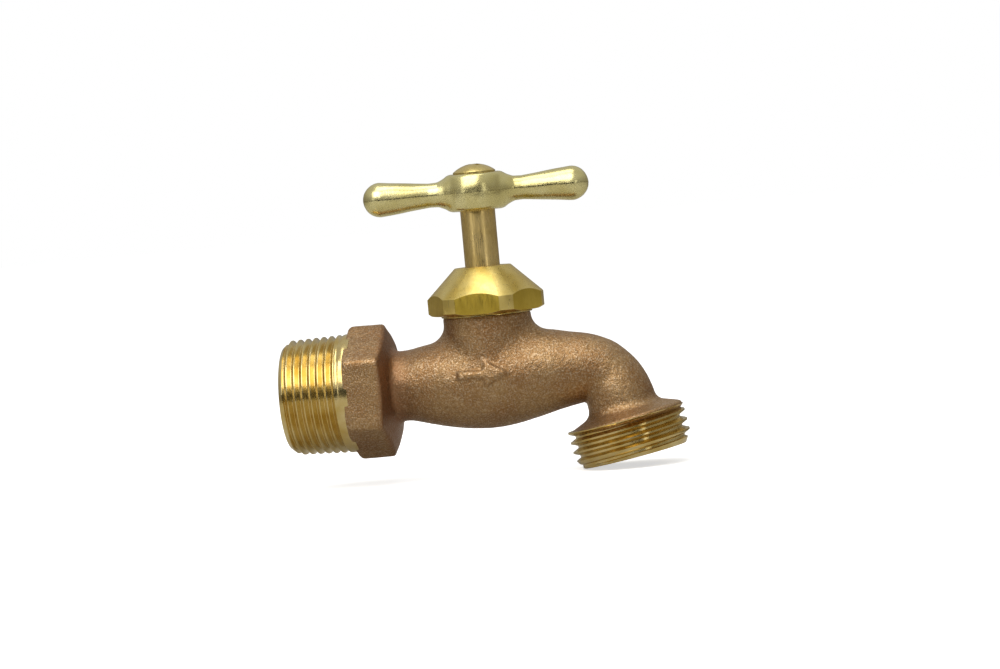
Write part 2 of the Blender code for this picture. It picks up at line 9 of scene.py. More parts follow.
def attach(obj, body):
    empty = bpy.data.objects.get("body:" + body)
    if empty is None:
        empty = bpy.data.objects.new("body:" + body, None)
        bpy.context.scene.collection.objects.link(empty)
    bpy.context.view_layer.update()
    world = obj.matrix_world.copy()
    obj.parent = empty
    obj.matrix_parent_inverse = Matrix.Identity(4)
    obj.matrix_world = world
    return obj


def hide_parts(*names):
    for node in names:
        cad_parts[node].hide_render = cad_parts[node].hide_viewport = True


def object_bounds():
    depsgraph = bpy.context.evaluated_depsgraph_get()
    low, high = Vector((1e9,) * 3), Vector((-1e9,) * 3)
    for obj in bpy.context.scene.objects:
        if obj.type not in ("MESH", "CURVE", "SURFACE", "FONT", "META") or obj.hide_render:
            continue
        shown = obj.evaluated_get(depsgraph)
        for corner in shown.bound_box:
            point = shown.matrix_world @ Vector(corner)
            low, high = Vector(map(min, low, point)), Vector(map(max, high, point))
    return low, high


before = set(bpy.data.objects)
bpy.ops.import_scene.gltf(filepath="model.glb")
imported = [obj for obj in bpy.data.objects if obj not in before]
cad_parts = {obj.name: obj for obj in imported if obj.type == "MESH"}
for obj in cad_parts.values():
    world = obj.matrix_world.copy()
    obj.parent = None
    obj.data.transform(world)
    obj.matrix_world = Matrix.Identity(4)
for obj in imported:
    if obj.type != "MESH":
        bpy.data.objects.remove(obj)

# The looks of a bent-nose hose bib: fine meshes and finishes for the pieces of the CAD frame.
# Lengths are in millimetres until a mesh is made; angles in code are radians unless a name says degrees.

cad_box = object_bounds()

MM = 0.001
INCH = 25.4
SIN_60 = sqrt(3) / 2
GAP = 0.3                        # assembly gap between pieces that touch in the real valve
WELD_M = 0.0000005               # vertices closer than this, in metres, are one
STEM_X = 47.1
HANDLE_TURN = radians(9.7)
CAST, MACHINED = 0, 1            # material slots of the casting
# The nut's flats are drawn bar, rougher than the turned faces; their darker, more saturated colour is
# partly that finish and partly painted shade.
SHADED_FLATS = 1                        # material slot of the nut's flats; the rest of it is turned, slot 0

# Threads.  A shape is the phases where the root ends and where the crest starts and ends.
NPT_PITCH = INCH / 14
NPT_SLOPE = 1 / 32               # growth of the radius along the taper
NPT_CREST_R, NPT_DEPTH = 13.0, 1.0
NPT_SHAPE = 0.025, 0.45, 0.55
NH_PITCH = INCH / 11.5
NH_CREST_R, NH_DEPTH = 13.4, 1.42
NH_SHAPE = 0.10, 0.41, 0.59
NECK_PITCH = INCH / 16
NECK_CREST_R, NECK_DEPTH = 10.3, 0.8
NECK_SHAPE = 0.12, 0.4, 0.6
NECK_RIDGE_Z = 16.58             # middle of the neck's ridge over +X
NUT_GROOVE_SHAPE = 0.14, 0.36, 0.64
STEM_LEAD = INCH / 10
STEM_SHAPE = 0.27, 0.35, 0.65
STEM_RIDGE_Z = 7.17              # middle of the stem's ridge over +X
STEM_GROOVE_SHAPE = 0.1, 0.22, 0.78
SCREW_PITCH = 0.8
SCREW_SHAPE = 0.1, 0.45, 0.55

# Casting
HEX_START, HEX_END, HEX_FLATS = 15.4, 23.8, 26.6
HEX_CORNER_R = HEX_FLATS / sqrt(3)
HEX_FACE_X = HEX_START - 1.2     # the hexagon's front face, cast over the thread's run-out
NECK_R, NECK_CAST_Z, NECK_COLLAR_Z, NECK_TOP_Z = 9.95, 15.45, 15.3, 20.5
SPOUT_LEVEL_Z, BEND_R = 1.6, 7.5
OUTLET_END = Vector((77.9, 0.0, -19.1))
OUTLET_TILT = radians(9.86)
OUTLET_AXIS = Vector((sin(OUTLET_TILT), 0.0, -cos(OUTLET_TILT)))
FLANGE_R = 13.2
CAST_INSET = 0.05                # keeps the cast rims inside the CAD's, uneven as their skin is
ARROW_HEIGHT = 0.75
INLET_BORE_R, OUTLET_BORE_R = 8.8, 8.0
CAST_STEP = 0.3                  # grid step of the casting's surface
HANDLE_STEP = 0.2                # and of the handle's

# Nut, stem and handle
NUT_BOTTOM_Z, NUT_SHELF_Z, NUT_ROOF_Z, NUT_TOP_Z = 15.8, 20.8, 24.2, 26.2
NUT_FLATS, NUT_TURNED_R, NUT_TOP_R = 24.3, 13.15, 6.35
POCKET_FLOOR_Z, POCKET_R = 18.21, 7.3
STEM_R, STEM_BORE_R = 3.95, 4.25
STEM_THREAD_TOP = 12.73
CUP_RIM_Z, CUP_FLOOR_Z, CUP_R, WASHER_R = 3.4, 5.2, 6.1, 5.2
TANG_FLATS, TANG_START, TANG_END = 5.6, 39.05, 46.9
HUB_BOTTOM_Z, HUB_TOP_Z, HUB_EDGE_R, HUB_WAIST_R = 39.0, 47.2, 6.0, 7.0
ARM_Z, ARM_LENGTH, ARM_TIP_R = 43.1, 25.5, 3.9
SCREW_UNDER_Z, SCREW_TOP_Z, SCREW_HEAD_R = 47.1, 49.4, 4.8


# ---- meshes

def new_piece(name, verts, faces, matrix=None, material_index=0):
    """A closed mesh object; verts are in millimetres in the piece's own frame, which matrix places."""
    mesh = bpy.data.meshes.new(name)
    mesh.from_pydata((np.asarray(verts, dtype=float) * MM).tolist(), [], faces)
    bm = bmesh.new()
    bm.from_mesh(mesh)
    bmesh.ops.remove_doubles(bm, verts=bm.verts, dist=WELD_M)
    if matrix is not None:
        bmesh.ops.transform(bm, matrix=matrix, verts=bm.verts)
    bmesh.ops.recalc_face_normals(bm, faces=bm.faces)
    for face in bm.faces:
        face.material_index = material_index
        face.smooth = True
    bm.to_mesh(mesh)
    bm.free()
    obj = bpy.data.objects.new(name, mesh)
    bpy.context.scene.collection.objects.link(obj)
    return obj


def set_finishes(obj, finishes):
    """Gives a mesh its materials; faces keep their index."""
    index = [face.material_index for face in obj.data.polygons]
    obj.data.materials.clear()
    for finish in finishes:
        obj.data.materials.append(finish)
    obj.data.polygons.foreach_set("material_index", index)


def boolean(target, operation, others, finishes=()):
    """Adds or cuts each other closed mesh and keeps the result as the target's own mesh.

    Every mesh gets the same finishes first, so that a face's index means the same in all of them.
    """
    set_finishes(target, finishes)
    for other in others:
        set_finishes(other, finishes)
        modifier = target.modifiers.new(other.name, "BOOLEAN")
        modifier.operation = operation
        modifier.solver = "MANIFOLD"
        modifier.object = other
    graph = bpy.context.evaluated_depsgraph_get()
    made = bpy.data.meshes.new_from_object(target.evaluated_get(graph))
    target.modifiers.clear()
    target.data = made
    for other in others:
        bpy.data.objects.remove(other)
    return target


def place_inlet():
    """Places a shape made about Z so that +Z runs from the inlet's end face into the valve."""
    return Matrix.Rotation(pi / 2, 4, "Y")


def place_stem(turn=0.0, height=0.0):
    """Places a shape made about Z on the stem's axis."""
    return Matrix.Translation((STEM_X * MM, 0.0, height * MM)) @ Matrix.Rotation(turn, 4, "Z")


def place_outlet():
    """Places a shape made about Z so that +Z runs from the outlet's end face back into the spout."""
    return Matrix.Translation(OUTLET_END * MM) @ Matrix.Rotation(-OUTLET_TILT, 4, "Y")


def place_helix(start, pitch, ridge_z):
    """Places a threaded rod on the stem's axis from start up, its ridge's middle at ridge_z over +X."""
    return place_stem(2 * pi * (start + pitch / 2 - ridge_z) / pitch, start)


def softened(points, closed=False, steps=4):
    """A profile of (r, z, edge radius) points with each edge rounded: the outline as (r, z) points."""
    outline = []
    count = len(points)
    for i, (r, z, edge) in enumerate(points):
        at_end = not closed and i in (0, count - 1)
        if edge == 0 or at_end:
            outline.append((r, z))
            continue
        here = Vector((r, z))
        before = Vector(points[i - 1][:2]) - here
        after = Vector(points[(i + 1) % count][:2]) - here
        half_angle = before.angle(after) / 2
        cut = edge / max(np.tan(half_angle), 0.01)
        start = here + before.normalized() * min(cut, before.length * 0.48)
        end = here + after.normalized() * min(cut, after.length * 0.48)
        for k in range(steps + 1):
            t = k / steps
            outline.append(tuple(start * (1 - t) ** 2 + here * 2 * t * (1 - t) + end * t ** 2))
    return outline


def spun(name, outline, angles, matrix, ring=False, material_index=0):
    """A solid about Z.  outline(angle) gives its (r, z) points, the same number at every angle."""
    columns = [outline(angle) for angle in angles]
    rows = len(columns[0])
    verts = [(r * cos(a), r * sin(a), z) for a, column in zip(angles, columns) for r, z in column]
    faces = []
    for j in range(len(angles)):
        here, there = j * rows, (j + 1) % len(angles) * rows
        for k in range(rows if ring else rows - 1):
            after = (k + 1) % rows
            faces.append((here + k, there + k, there + after, here + after))
    return new_piece(name, verts, faces, matrix, material_index)


def even_angles(count):
    """That many angles, evenly spaced round a circle."""
    return [2 * pi * j / count for j in range(count)]


def turned(name, points, columns, matrix, ring=False, material_index=0):
    """A turned solid from one profile of (r, z, edge radius) points."""
    outline = softened(points, closed=ring)
    return spun(name, lambda angle: outline, even_angles(columns), matrix, ring, material_index)


def threaded(name, radius, shape, pitch, length, columns, matrix, material_index=0):
    """A rod about Z with a right-handed helical surface: radius(z, height) in millimetres.

    height is how far up the thread's flank a point lies, from 0 at the root to 1 at the crest.
    """
    stops = vee_stops(*shape)
    turns = range(-1, ceil(length / pitch) + 1)
    rows = [turn + stop for turn in turns for stop in stops]
    verts = []
    for j in range(columns + 1):
        share = j / columns
        angle = 2 * pi * share
        verts.append((0.0, 0.0, 0.0))
        for row in rows:
            z = min(max((row + share) * pitch, 0.0), length)
            r = radius(z, vee((z / pitch - share) % 1, *shape))
            verts.append((r * cos(angle), r * sin(angle), z))
        verts.append((0.0, 0.0, length))
    column = len(rows) + 2
    faces = [
        (j * column + k, (j + 1) * column + k, (j + 1) * column + k + 1, j * column + k + 1)
        for j in range(columns) for k in range(column - 1)
    ]
    return new_piece(name, verts, faces, matrix, material_index)


def vee(phase, root_end, crest_start, crest_end):
    """Height of a thread from 0 at its root to 1 at its crest; the root is centred on phase 0."""
    if phase < root_end or phase > 1 - root_end:
        return 0.0
    if crest_start <= phase <= crest_end:
        return 1.0
    if phase < crest_start:
        return (phase - root_end) / (crest_start - root_end)
    return (1 - root_end - phase) / (1 - root_end - crest_end)


def vee_stops(root_end, crest_start, crest_end):
    """Phases that get a row of vertices, closer together near the edges of roots and crests."""
    shares = 0.0, 0.08, 0.35, 0.65, 0.92, 1.0
    rising = [root_end + (crest_start - root_end) * t for t in shares]
    falling = [crest_end + (1 - root_end - crest_end) * t for t in shares]
    return [0.0, *rising, (crest_start + crest_end) / 2, *falling]


def eased(t):
    """A smooth step from 0 to 1."""
    t = min(max(t, 0.0), 1.0)
    return t * t * (3 - 2 * t)


# ---- fields

def union_round(a, b, radius):
    """Joins two distance fields with a fillet of that radius."""
    blend = np.hypot(np.maximum(radius - a, 0), np.maximum(radius - b, 0))
    return np.maximum(np.minimum(a, b), radius) - blend


def common_round(a, b, radius):
    """What two distance fields share, with its edge rounded to that radius."""
    blend = np.hypot(np.maximum(radius + a, 0), np.maximum(radius + b, 0))
    return np.minimum(np.maximum(a, b), -radius) + blend


def cone_field(along, outward, angle):
    """Distance to a cone that leans back by that angle as it goes outward."""
    return along * cos(angle) + outward * sin(angle)


def blurred(field, passes):
    """Evens a grid out with its neighbours, which rounds its sharpest creases."""
    for _ in range(passes):
        for axis in range(3):
            ahead = np.roll(field, 1, axis)
            behind = np.roll(field, -1, axis)
            field = field * 0.5 + (ahead + behind) * 0.25
    return field


def grid(low, high, step):
    """A grid's coordinates between two corners, as arrays that broadcast together, and its low corner."""
    axes = [np.arange(a, b + step, step, dtype=np.float32) for a, b in zip(low, high)]
    return np.meshgrid(*axes, indexing="ij", sparse=True), np.array(low, dtype=float)


def sampled(field, places):
    """The field's value at fractional grid places, from the eight corners round each."""
    base = np.clip(np.floor(places).astype(int), 0, np.array(field.shape) - 2)
    share = places - base
    total = np.zeros(len(places))
    for corner in np.ndindex(2, 2, 2):
        weight = np.prod(np.where(corner, share, 1 - share), axis=1)
        i, j, k = (base + corner).T
        total += weight * field[i, j, k]
    return total


def surface_net(field):
    """The closed surface where a sampled field crosses zero, as grid places and quads."""
    inside = field < 0
    cells_shape = np.array(field.shape) - 1
    corners = [np.array(c) for c in np.ndindex(2, 2, 2)]
    count = np.zeros(cells_shape, dtype=np.int8)
    for c in corners:
        count += inside[tuple(slice(start, start + size) for start, size in zip(c, cells_shape))]
    cells = np.argwhere((count > 0) & (count < 8))
    number = np.full(cells_shape, -1, dtype=np.int64)
    number[tuple(cells.T)] = np.arange(len(cells))
    total = np.zeros((len(cells), 3))
    weight = np.zeros(len(cells))
    for axis in range(3):
        for c in corners:
            if c[axis]:
                continue
            far = c.copy()
            far[axis] = 1
            a = field[tuple((cells + c).T)]
            b = field[tuple((cells + far).T)]
            cross = (a < 0) != (b < 0)
            point = (cells + c).astype(float)
            point[:, axis] += np.where(cross, a / np.where(cross, a - b, 1), 0)
            total[cross] += point[cross]
            weight[cross] += 1
    places = total / weight[:, None]
    slopes = np.gradient(field)
    for _ in range(2):
        value = sampled(field, places)
        slope = np.stack([sampled(s, places) for s in slopes], axis=1)
        move = slope * (value / np.maximum((slope ** 2).sum(axis=1), 1e-9))[:, None]
        places -= np.clip(move, -0.5, 0.5)
    quads = []
    for axis in range(3):
        u, v = (axis + 1) % 3, (axis + 2) % 3
        near = [slice(1, -1)] * 3
        far = [slice(1, -1)] * 3
        near[axis], far[axis] = slice(0, -1), slice(1, None)
        a, b = inside[tuple(near)], inside[tuple(far)]
        edges = np.argwhere(a != b)
        leaving = a[tuple(edges.T)]
        start = edges + 1
        start[:, axis] -= 1
        step_u, step_v = np.eye(3, dtype=int)[u], np.eye(3, dtype=int)[v]
        ring = [number[tuple((start - d).T)] for d in (0 * step_u, step_u, step_u + step_v, step_v)]
        ring = np.stack(ring, axis=1)
        ring[~leaving] = ring[~leaving][:, ::-1]
        quads.append(ring)
    return places, np.concatenate(quads)


def net_piece(name, field, low, step, matrix=None):
    """The surface of a field sampled on a grid from the corner low."""
    places, quads = surface_net(field)
    return new_piece(name, low + places * step, quads.tolist(), matrix)


# ---- casting

def smooth_path(stations, count):
    """Points (x, z, r) along a smooth curve through the stations, spaced evenly between each two."""
    points = np.array(stations, dtype=float)
    knots = np.concatenate([[0], np.cumsum(np.hypot(*np.diff(points[:, :2], axis=0).T))])
    slope = np.gradient(points, knots, axis=0)
    path = []
    for i in range(len(points) - 1):
        span = knots[i + 1] - knots[i]
        for k in range(count):
            t = k / count
            path.append(
                (2 * t ** 3 - 3 * t ** 2 + 1) * points[i] + (t ** 3 - 2 * t ** 2 + t) * span * slope[i]
                + (3 * t ** 2 - 2 * t ** 3) * points[i + 1] + (t ** 3 - t ** 2) * span * slope[i + 1])
    path.append(points[-1])
    return np.array(path)


def bend_stations(radius_start, radius_middle, radius_end):
    """Stations round the spout's bend, and the point where its arc meets the outlet's axis."""
    across = Vector((cos(OUTLET_TILT), 0.0, sin(OUTLET_TILT)))
    centre_z = SPOUT_LEVEL_Z - BEND_R
    straight = (centre_z + BEND_R * across.z - OUTLET_END.z) / -OUTLET_AXIS.z
    bend_end = OUTLET_END - OUTLET_AXIS * straight
    centre = bend_end - across * BEND_R
    stations = []
    for i in range(4):
        angle = pi / 2 - (pi / 2 - OUTLET_TILT) * i / 3
        end = radius_start + (radius_end - radius_start) * i / 3
        radius = end + (radius_middle - end) * sin(pi * i / 3)
        stations.append((centre.x + BEND_R * cos(angle), centre.z + BEND_R * sin(angle), radius))
    return stations, bend_end


def bar_field(x, y, z, path):
    """Distance to a round bar along a path in the plane y = 0."""
    best = np.full(np.broadcast_shapes(x.shape, y.shape, z.shape), 1e3, dtype=np.float32)
    plane_x, plane_z = x[:, 0, :], z[:, 0, :]
    for (ax, az, ar), (bx, bz, br) in zip(path[:-1], path[1:]):
        dx, dz = bx - ax, bz - az
        t = np.clip(((plane_x - ax) * dx + (plane_z - az) * dz) / (dx * dx + dz * dz), 0, 1)
        away = (plane_x - ax - t * dx) ** 2 + (plane_z - az - t * dz) ** 2
        radius = (ar + (br - ar) * t).astype(np.float32)
        near = np.sqrt(away[:, None, :].astype(np.float32) + y ** 2) - radius[:, None, :]
        np.minimum(best, near, out=best)
    return best


def hexagon_field(x, y, z):
    """The wrench hexagon with cast edges: a turned chamfer at the thread side, a shallow cone behind."""
    edge = 0.45
    slant = np.maximum(np.abs(y * 0.5 + z * SIN_60), np.abs(y * 0.5 - z * SIN_60))
    flats = np.maximum(np.abs(y), slant)
    reach = np.sqrt(y ** 2 + z ** 2)
    side = common_round(flats - HEX_FLATS / 2, reach - HEX_CORNER_R + CAST_INSET, edge)
    chamfer = cone_field(HEX_FACE_X - x, reach - HEX_FLATS / 2, atan2(3, 4))
    front = common_round(HEX_FACE_X - x, chamfer, 0.3)
    back = cone_field(x - HEX_END, reach - HEX_FLATS / 2, radians(14.5))
    return common_round(common_round(side, back, edge), front, 0.35)


def flange_field(x, y, z):
    """The hose collar's cast flange, its top a shallow cone up to the spout and leaning a little."""
    top_height, lean, under_height, under_r = 8.85, 0.035, 7.5, 11.7
    dx, dz = x - OUTLET_END.x, z - OUTLET_END.z
    height = -(dx * OUTLET_AXIS.x + dz * OUTLET_AXIS.z)
    across = dx * -OUTLET_AXIS.z + dz * OUTLET_AXIS.x
    reach = np.sqrt(across ** 2 + y ** 2)
    top = cone_field(height - top_height - lean * across, reach - FLANGE_R, radians(21))
    under = cone_field(under_height - height, reach - under_r, radians(30))
    return common_round(common_round(top, reach - FLANGE_R + CAST_INSET, 0.3), under, 0.1)


def arrow_field(x, z):
    """Outline of the plain arrow that shows the way of the flow."""
    middle_z, shaft_x, head_x, tip_x = 2.4, 44.6, 47.0, 52.4
    shaft_half_length, shaft_half_width = 3.6, 0.95
    up = np.abs(z - middle_z)
    shaft = np.maximum(up - shaft_half_width, np.abs(x - shaft_x) - shaft_half_length)
    head = np.maximum((x - tip_x) * 0.5 + up * SIN_60, head_x - x)
    return union_round(shaft, head, 0.3)


def casting_outside():
    """The casting as it leaves the sand, without its threads and passages."""
    (x, y, z), low = grid((14.6, -15.0, -16.5), (92.4, 15.0, 16.4), CAST_STEP)
    stations, bend_end = bend_stations(7.6, 6.95, 7.6)
    collar = bend_end + OUTLET_AXIS * 6.5
    spout_start = 64.5, SPOUT_LEVEL_Z, 8.2
    belly = smooth_path([
        (20.0, 0.65, 7.9), (30.0, 0.65, 8.2), (34.5, 0.55, 9.2), (40.0, 0.35, 10.2), (STEM_X, 0.3, 10.7),
        (54.0, 1.0, 10.2), (60.0, 1.55, 9.25), spout_start, *stations[:2],
    ], 5)
    spout = smooth_path([spout_start, *stations, (collar.x, collar.z, 7.65)], 5)
    body = union_round(bar_field(x, y, z, belly), bar_field(x, y, z, spout), 0.5)
    body = union_round(body, hexagon_field(x, y, z), 1.3)

    reach = np.sqrt((x - STEM_X) ** 2 + y ** 2)
    neck = common_round(common_round(reach - NECK_R, z - NECK_CAST_Z, 0.25), -z, 0.5)
    side_fillet, end_fillet = 0.9, 3.6
    fillet = side_fillet + (end_fillet - side_fillet) * ((x - STEM_X) / np.maximum(reach, 1)) ** 2
    body = union_round(body, neck, fillet)
    body = union_round(body, flange_field(x, y, z), 1.5)

    arrow = common_round(body - ARROW_HEIGHT, arrow_field(x, z), 0.25)
    front_arrow = np.maximum(arrow, y)
    body = union_round(body, front_arrow, 0.2)

    sway_depth, grain_depth = 0.045, 0.05
    sway = np.sin(0.55 * x + 1.3) * np.sin(0.5 * y + 0.4)
    sway = sway + np.sin(0.9 * z + 0.35 * x) * np.cos(0.7 * y - 1)
    grain = np.random.default_rng(11).normal(size=body.shape).astype(np.float32)
    body = blurred(body, 2) + sway_depth * sway + grain_depth * blurred(grain, 1)
    return net_piece("body_casting_detail", body, low, CAST_STEP)


def inlet_thread():
    """The tapered pipe thread, cut shallower towards the hexagon, with a turned chamfer at its end."""
    run_out_x, run_out_length, run_out_share = 12.2, 2.0, 0.95
    end_r, end_slope, blank_r, overlap = 11.72, 0.85, 13.55, 0.6

    def radius(x, height):
        depth = NPT_DEPTH * (1 - run_out_share * eased((x - run_out_x) / run_out_length))
        thread = NPT_CREST_R + x * NPT_SLOPE - depth * (1 - height)
        return min(thread, end_r + x * end_slope, blank_r)

    length = HEX_START + overlap
    return threaded("inlet_thread", radius, NPT_SHAPE, NPT_PITCH, length, 120, place_inlet(), MACHINED)


def outlet_thread():
    """The hose thread below the flange, with its lead-in chamfer and plain rim."""
    length, run_out, run_out_length = 8.7, 8.1, 0.5
    end_r, end_slope = 11.85, 0.62
    turn = 1.42                      # puts the thread's start where the photo shows it

    def radius(t, height):
        depth = NH_DEPTH * (1 - eased((t - run_out) / run_out_length))
        return min(NH_CREST_R - depth * (1 - height), end_r + t * end_slope)

    place = place_outlet() @ Matrix.Rotation(turn, 4, "Z")
    return threaded("outlet_thread", radius, NH_SHAPE, NH_PITCH, length, 120, place, MACHINED)


def neck_thread():
    """The thread under the packing nut, above a low turned collar."""
    length, collar, run_in = NECK_TOP_Z - NECK_COLLAR_Z, 0.3, 0.4
    end_r, end_slope = 9.54, 0.8

    def radius(z, height):
        if z < collar:
            return NECK_CREST_R
        depth = NECK_DEPTH * eased((z - collar) / run_in)
        return min(NECK_CREST_R - depth * (1 - height), end_r + (length - z) * end_slope)

    place = place_helix(NECK_COLLAR_Z, NECK_PITCH, NECK_RIDGE_Z)
    return threaded("neck_thread", radius, NECK_SHAPE, NECK_PITCH, length, 72, place, MACHINED)


def swept(name, path, sides, material_index):
    """A round bar along a path in the plane y = 0, closed at both ends."""
    points = path[:, :2]
    along = np.gradient(points, axis=0)
    along /= np.hypot(*along.T)[:, None]
    verts, faces = [], []
    for (x, z, r), (tx, tz) in zip(path, along):
        for k in range(sides):
            a = 2 * pi * k / sides
            verts.append((x - tz * r * cos(a), r * sin(a), z + tx * r * cos(a)))
    rings = len(path)
    for i in range(rings - 1):
        for k in range(sides):
            after = (k + 1) % sides
            faces.append((i * sides + k, i * sides + after, (i + 1) * sides + after, (i + 1) * sides + k))
    faces.append(tuple(range(sides)))
    faces.append(tuple(range((rings - 1) * sides, rings * sides)))
    return new_piece(name, verts, faces, None, material_index)


def passages():
    """Everything that is cut out of the casting."""
    nose_r, nose_x = 5.5, 31.2
    nose = [(nose_r * sin(radians(a)), nose_x + nose_r * cos(radians(a)), 0) for a in range(0, 91, 15)]
    inlet = turned("inlet_passage", [
        *nose, (5.6, 23.0, 2), (INLET_BORE_R, 15.0, 1), (INLET_BORE_R, 1.0, 0.5), (9.5, -0.05, 0),
        (9.5, -2, 0), (0, -2, 0),
    ], 64, place_inlet(), material_index=MACHINED)

    polar = [(sin(pi * k / 16), cos(pi * k / 16), 0) for k in range(17)]
    lower_centre, lower_half_size = Vector((42.9, 0.0, -4.9)), (11.9, 7.0, 3.1)
    place = Matrix.Translation(lower_centre * MM) @ Matrix.Diagonal((*lower_half_size, 1.0))
    lower = turned("lower_chamber", polar, 40, place, material_index=CAST)

    seat_bore_r, chamber_r, neck_bore_r = 4.2, 8.0, 6.4
    chamber = turned("valve_chamber", [
        (0, 22, 0), (7.9, 22, 0), (POCKET_R, NECK_TOP_Z - 0.3, 0), (POCKET_R, POCKET_FLOOR_Z, 0),
        (neck_bore_r, POCKET_FLOOR_Z, 0), (neck_bore_r, 8.6, 0), (chamber_r, 7.4, 0.3),
        (chamber_r, 0.2, 0.4), (5.6, 0.2, 0.3), (5.0, 1.6, 0.3), (seat_bore_r, 1.6, 0.2),
        (seat_bore_r, -4, 0), (0, -4, 0),
    ], 64, place_stem(), material_index=MACHINED)

    def groove_radius(z, height):
        return 6.2 + 1.1 * height

    groove_start, groove_length = 7.9, 10.4
    place = place_helix(groove_start, STEM_LEAD, STEM_RIDGE_Z)
    groove = threaded(
        "neck_groove", groove_radius, STEM_GROOVE_SHAPE, STEM_LEAD, groove_length, 64, place, MACHINED)

    stations, bend_end = bend_stations(5.6, 5.1, 5.4)
    mouth = bend_end + OUTLET_AXIS * 6.0
    spout = swept("spout_passage", smooth_path([
        (48.0, 4.0, 3.2), (54.0, 3.4, 4.6), (60.0, 2.0, 6.2), (64.5, SPOUT_LEVEL_Z, 6.0),
        *stations, (mouth.x, mouth.z, 5.4),
    ], 4), 36, CAST)
    outlet = turned("outlet_bore", [
        (0, 13.5, 0), (5.3, 12.2, 0), (OUTLET_BORE_R, 8.8, 0.4), (OUTLET_BORE_R, 0.8, 0.3),
        (8.6, -0.05, 0), (8.6, -1, 0), (0, -1, 0),
    ], 64, place_outlet(), material_index=MACHINED)
    return [inlet, lower, chamber, groove, spout, outlet]


def casting(*finishes):
    """The whole body: the casting with its threads joined on and its passages cut out."""
    body = casting_outside()
    boolean(body, "UNION", [inlet_thread(), outlet_thread(), neck_thread()], finishes)
    return boolean(body, "DIFFERENCE", passages(), finishes)


# ---- packing nut and the stuffing box

def off_flat(angle, sides, first):
    """Angle from the middle of the nearest flat of a regular bar, one of whose flats faces first."""
    return (angle - first + pi / sides) % (2 * pi / sides) - pi / sides


def bar_reach(angle, sides, first, flats):
    """Distance from the axis to the side of such a bar, at its size across flats."""
    return flats / 2 / cos(off_flat(angle, sides, first))


def nut_angles():
    """Even columns, with extra ones close to where each flat meets the turned corner."""
    step, clear = 0.012, 0.016
    angles = set(even_angles(96))
    meet = np.arccos(NUT_FLATS / 2 / NUT_TURNED_R)
    for side in range(6):
        flat = pi / 2 + side * pi / 3
        for edge in (flat - meet, flat + meet):
            angles = {a for a in angles if abs((a - edge + pi) % (2 * pi) - pi) > clear}
            angles |= {(edge + shift) % (2 * pi) for shift in (-step, 0.0, step)}
    return sorted(angles)


def packing_nut():
    """Hexagonal nut with turned corners and a cone on top."""
    cone_drop = 0.968                # fall of the cone per millimetre outward
    mouth_r, bore_r, pocket_r = 10.65, 9.9, 6.9
    foot_r = NUT_TURNED_R - 0.75     # where the rounded foot starts

    def outline(angle):
        side = min(bar_reach(angle, 6, pi / 2, NUT_FLATS), NUT_TURNED_R)
        cone_z = NUT_TOP_Z - (side - NUT_TOP_R) * cone_drop
        foot_z = NUT_BOTTOM_Z + max((side - foot_r) * 0.75, 0.05)
        return softened([
            (mouth_r, NUT_BOTTOM_Z, 0.2), (foot_r - 0.35, NUT_BOTTOM_Z, 0.15), (side, foot_z, 0.12),
            (side, cone_z, 0.1), (NUT_TOP_R, NUT_TOP_Z, 0.25), (STEM_BORE_R + 0.3, NUT_TOP_Z, 0.05),
            (STEM_BORE_R, NUT_TOP_Z - 0.3, 0.05), (STEM_BORE_R, NUT_ROOF_Z, 0.1),
            (pocket_r, NUT_ROOF_Z, 0.2), (pocket_r, NUT_SHELF_Z, 0.1), (bore_r, NUT_SHELF_Z, 0.1),
            (bore_r, NUT_BOTTOM_Z + 0.8, 0.1),
        ], closed=True, steps=3)

    nut = spun("packing_nut_detail", outline, nut_angles(), place_stem(), ring=True)

    def groove_radius(z, height):
        return 9.7 + 0.9 * height

    groove_start, groove_length = 15.7, 4.9
    place = place_helix(groove_start, NECK_PITCH, NECK_RIDGE_Z)
    groove = threaded("nut_groove", groove_radius, NUT_GROOVE_SHAPE, NECK_PITCH, groove_length, 64, place)
    boolean(nut, "DIFFERENCE", [groove])
    # The flats get the darker brass, which is partly painted shade.
    for face in nut.data.polygons:
        reach = np.hypot(face.center.x - STEM_X * MM, face.center.y)
        outside = reach > NUT_FLATS / 2 * MM * 0.98
        away = off_flat(np.arctan2(face.normal.y, face.normal.x), 6, pi / 2)
        if outside and abs(face.normal.z) < 0.2 and abs(away) < 0.01:
            face.material_index = SHADED_FLATS
    return nut


def flat_ring(name, outer, bottom, top):
    """A flat brass ring round the stem."""
    edge = 0.15
    return turned(name, [
        (STEM_BORE_R, top, edge), (outer, top, edge), (outer, bottom, edge), (STEM_BORE_R, bottom, edge),
    ], 72, place_stem(), ring=True)


def packing_ring():
    """Graphited packing: two turns of plaited cord pressed together, so its outside is creased."""
    middle, half, inner, outer = 21.0, 1.33, STEM_BORE_R + 0.02, 6.55
    strands, weave_depth, crease_depth, crease_width = 26, 0.022, 0.05, 0.13
    sides = 48

    def outline(angle):
        points = []
        for k in range(sides):
            a = 2 * pi * k / sides
            square = 1 / max(abs(cos(a)), abs(sin(a))) ** 0.75
            weave = 1 - weave_depth * (1 + sin(angle * strands + k * 0.8))
            crease = 1 - crease_depth * np.exp(-(sin(a) / crease_width) ** 2)
            r = (inner + outer) / 2 + (outer - inner) / 2 * cos(a) * min(square, 1.25) * weave * crease
            points.append((min(max(r, inner), outer), middle + half * max(min(sin(a) * square, 1), -1)))
        return points
    return spun("packing_ring_detail", outline, even_angles(144), place_stem(), ring=True)


# ---- stem, seat washer and screws

